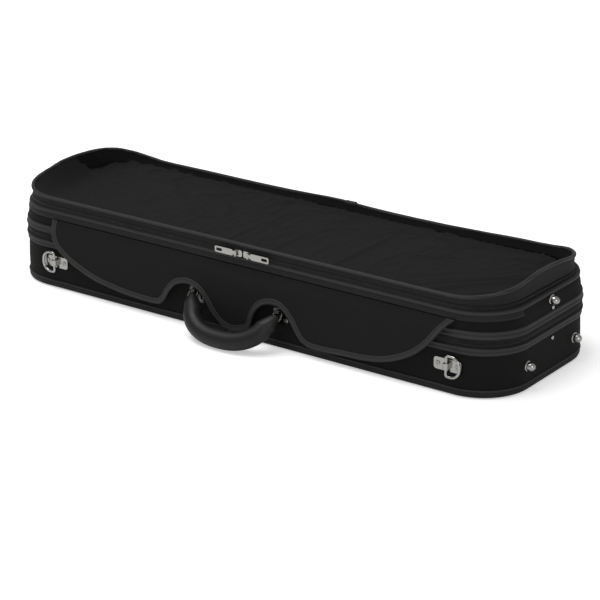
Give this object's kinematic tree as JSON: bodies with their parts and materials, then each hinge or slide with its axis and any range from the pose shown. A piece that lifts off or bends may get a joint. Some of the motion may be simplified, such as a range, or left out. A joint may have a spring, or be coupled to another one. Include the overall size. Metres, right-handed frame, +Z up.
{
  "type": "violin case",
  "caption": "Oblong violin case with a zip-round lid, a shaped flap over the zip, a zipped sheet-music pocket on the lid, a drop handle, strap rings and a padded interior.",
  "frame": {"origin": "centre of the underside, on the plane the case lies on", "axes": "+X along the case to the violin's body end, -Y the side with the handle, +Y the hinge side, +Z up"},
  "size_m": [0.813, 0.312, 0.1316],
  "materials": {
    "canvas": "woven synthetic canvas, matt",
    "flap_canvas": "woven synthetic canvas, matt",
    "pocket_canvas": "woven synthetic canvas, matt",
    "binding_tape": "woven tape, slight sheen",
    "zip_tape": "zip tape with a nylon coil",
    "shell_board": "laminated board, covered",
    "plush": "short-pile plush",
    "ribbon": "woven ribbon",
    "handle_leather": "smooth leather, satin",
    "bright_metal": "polished plating",
    "dark_metal": "black enamel, satin",
    "hinge_steel": "plated steel",
    "rivet_metal": "polished plating",
    "spinner_plastic": "moulded, glossy"
  },
  "bodies": {
    "base": {"base_shell": "shell_board", "base_cover": "canvas", "base_underside": "canvas", "base_bottom_welt": "binding_tape", "base_rim_binding": "binding_tape", "base_zip_tape": "zip_tape", "bed_cushion": "plush", "neck_rest": "plush", "neck_strap": "ribbon", "accessory_box": "plush", "handle_bracket_left": "bright_metal", "handle_bracket_right": "bright_metal", "handle_bracket_screws": "bright_metal", "strap_plate_left": "bright_metal", "strap_plate_right": "bright_metal", "strap_plate_screws": "bright_metal", "base_end_studs": "bright_metal", "base_stay_rivets": "rivet_metal", "hinge_base_leaves": "hinge_steel", "hinge_pins": "hinge_steel", "hinge_spine": "binding_tape", "lid_stay_left": "ribbon", "lid_stay_right": "ribbon"},
    "lid": {"lid_shell": "shell_board", "lid_cover": "canvas", "lid_lower_binding": "binding_tape", "lid_top_binding": "binding_tape", "lid_zip_tape": "zip_tape", "hinge_lid_leaves": "hinge_steel", "lid_lining": "plush", "bow_spinner_pins": "rivet_metal", "bow_tip_loops": "ribbon", "lid_end_studs": "bright_metal", "lid_stay_rivets": "rivet_metal", "flap_header": "binding_tape", "pocket_zip_lower": "zip_tape"},
    "front_flap": {"front_flap": "flap_canvas", "front_flap_binding": "binding_tape"},
    "pocket_flap": {"pocket_gusset": "pocket_canvas", "pocket_top": "pocket_canvas", "pocket_piping": "binding_tape", "pocket_tab": "binding_tape"},
    "handle": {"handle_grip": "handle_leather", "handle_ring_left": "bright_metal", "handle_ring_right": "bright_metal"},
    "strap_ring_left": {"strap_ring_left": "bright_metal"},
    "strap_ring_right": {"strap_ring_right": "bright_metal"},
    "pocket_slider_left": {"pocket_slider_left": "bright_metal"},
    "pocket_slider_right": {"pocket_slider_right": "bright_metal"},
    "pocket_pull_left": {"pocket_pull_left": "bright_metal"},
    "pocket_pull_right": {"pocket_pull_right": "bright_metal"},
    "main_slider_left": {"main_slider_left": "dark_metal", "main_pull_left": "dark_metal"},
    "main_slider_right": {"main_slider_right": "dark_metal", "main_pull_right": "dark_metal"},
    "accessory_lid": {"accessory_lid": "plush", "accessory_lid_tab": "ribbon"},
    "bow_spinner_front": {"bow_spinner_front": "spinner_plastic"},
    "bow_spinner_back": {"bow_spinner_back": "spinner_plastic"}
  },
  "joints": [
    {"name": "lid_hinge", "type": "hinge", "parent": "base", "child": "lid", "pos_m": [0, 0.1256, 0.072], "axis": [-1, 0, 0], "range_deg": [0, 105], "deforming": ["hinge_spine", "lid_stay_left", "lid_stay_right"]},
    {"name": "flap_lift", "type": "hinge", "parent": "lid", "child": "front_flap", "pos_m": [0, -0.1253, 0.1002], "axis": [-1, 0, 0], "range_deg": [0, 95]},
    {"name": "pocket_open", "type": "hinge", "parent": "lid", "child": "pocket_flap", "pos_m": [0, 0.119, 0.1166], "axis": [-1, 0, 0], "range_deg": [0, 100]},
    {"name": "handle_swing", "type": "hinge", "parent": "base", "child": "handle", "pos_m": [0.0025, -0.13, 0.052], "axis": [-1, 0, 0], "range_deg": [-14, 58]},
    {"name": "strap_ring_right_swing", "type": "hinge", "parent": "base", "child": "strap_ring_right", "pos_m": [0.322, -0.129, 0.039], "axis": [0, 0, -1], "range_deg": [0, 170]},
    {"name": "strap_ring_left_swing", "type": "hinge", "parent": "base", "child": "strap_ring_left", "pos_m": [-0.309, -0.129, 0.039], "axis": [0, 0, 1], "range_deg": [0, 170]},
    {"name": "pocket_slider_left_slide", "type": "slide", "parent": "lid", "child": "pocket_slider_left", "axis": [1, 0, 0], "range_m": [-0.28, 0]},
    {"name": "pocket_slider_right_slide", "type": "slide", "parent": "lid", "child": "pocket_slider_right", "axis": [1, 0, 0], "range_m": [0, 0.27]},
    {"name": "pocket_pull_left_swing", "type": "hinge", "parent": "pocket_slider_left", "child": "pocket_pull_left", "pos_m": [0.001, -0.1287, 0.118], "axis": [0, 0, 1], "range_deg": [0, 90]},
    {"name": "pocket_pull_right_swing", "type": "hinge", "parent": "pocket_slider_right", "child": "pocket_pull_right", "pos_m": [0.021, -0.1287, 0.118], "axis": [0, 0, -1], "range_deg": [0, 90]},
    {"name": "main_slider_left_slide", "type": "slide", "parent": "base", "child": "main_slider_left", "axis": [1, 0, 0], "range_m": [-0.25, 0]},
    {"name": "main_slider_right_slide", "type": "slide", "parent": "base", "child": "main_slider_right", "axis": [1, 0, 0], "range_m": [0, 0.25]},
    {"name": "accessory_lid_hinge", "type": "hinge", "parent": "base", "child": "accessory_lid", "pos_m": [-0.238, 0, 0.0588], "axis": [0, 1, 0], "range_deg": [0, 80]},
    {"name": "bow_spinner_front_turn", "type": "hinge", "parent": "lid", "child": "bow_spinner_front", "pos_m": [0.268, -0.062, 0.09], "axis": [0, 0, 1], "range_deg": [0, 90]},
    {"name": "bow_spinner_back_turn", "type": "hinge", "parent": "lid", "child": "bow_spinner_back", "pos_m": [0.268, 0.062, 0.09], "axis": [0, 0, 1], "range_deg": [0, 90]}
  ],
  "couplings": [
    {"joint": "accessory_lid_hinge", "follows": "lid_hinge", "ratio": 0.75}
  ]
}
